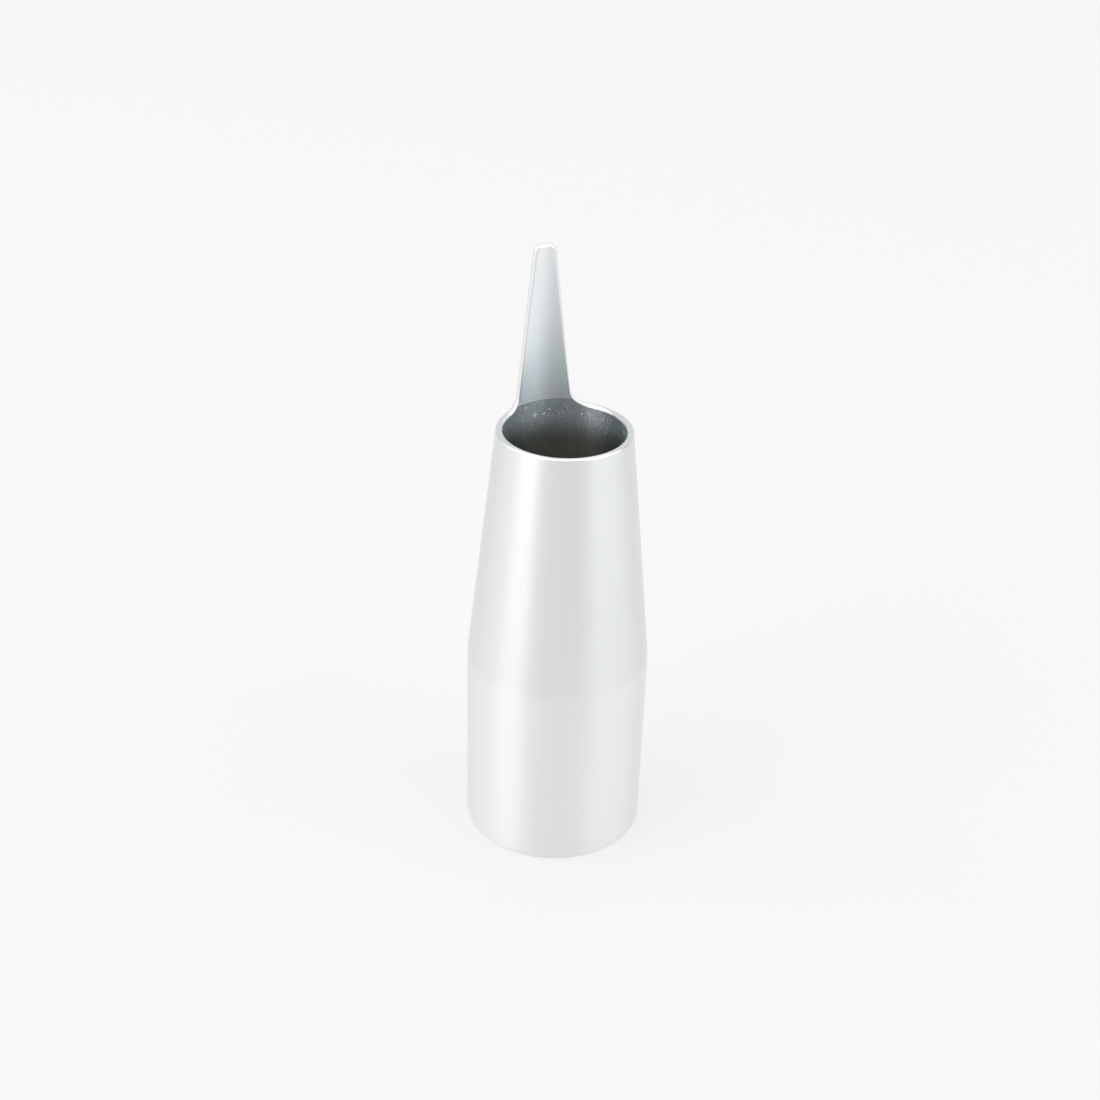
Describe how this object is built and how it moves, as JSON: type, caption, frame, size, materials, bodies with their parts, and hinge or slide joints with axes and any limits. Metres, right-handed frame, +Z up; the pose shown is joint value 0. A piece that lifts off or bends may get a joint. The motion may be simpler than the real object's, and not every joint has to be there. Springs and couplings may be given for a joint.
{
  "type": "handpiece snoot",
  "caption": "Tapered aluminium slip-on snoot: a socket barrel with a bush and seal rings, a conical nose with an open mouth, and a tapering stand-off finger on the rim.",
  "frame": {"origin": "on the bore's axis, at the barrel's open end, which is the face that the snoot stands on", "axes": "+Z up along the axis from the open end to the mouth, +Y through the stand-off finger, +X to the right when looking along +Y"},
  "size_m": [0.028, 0.028, 0.0929],
  "materials": {
    "body_aluminium": "fine satin, turned and bead blasted",
    "bush_plastic": "machined black acetal",
    "seal_rubber": "moulded matt black rubber",
    "ring_steel": "oiled black spring steel"
  },
  "bodies": {
    "root": {"snoot_body": "body_aluminium", "socket_bush": "bush_plastic", "o_ring_front": "seal_rubber", "o_ring_rear": "seal_rubber", "retaining_ring": "ring_steel"}
  },
  "joints": []
}
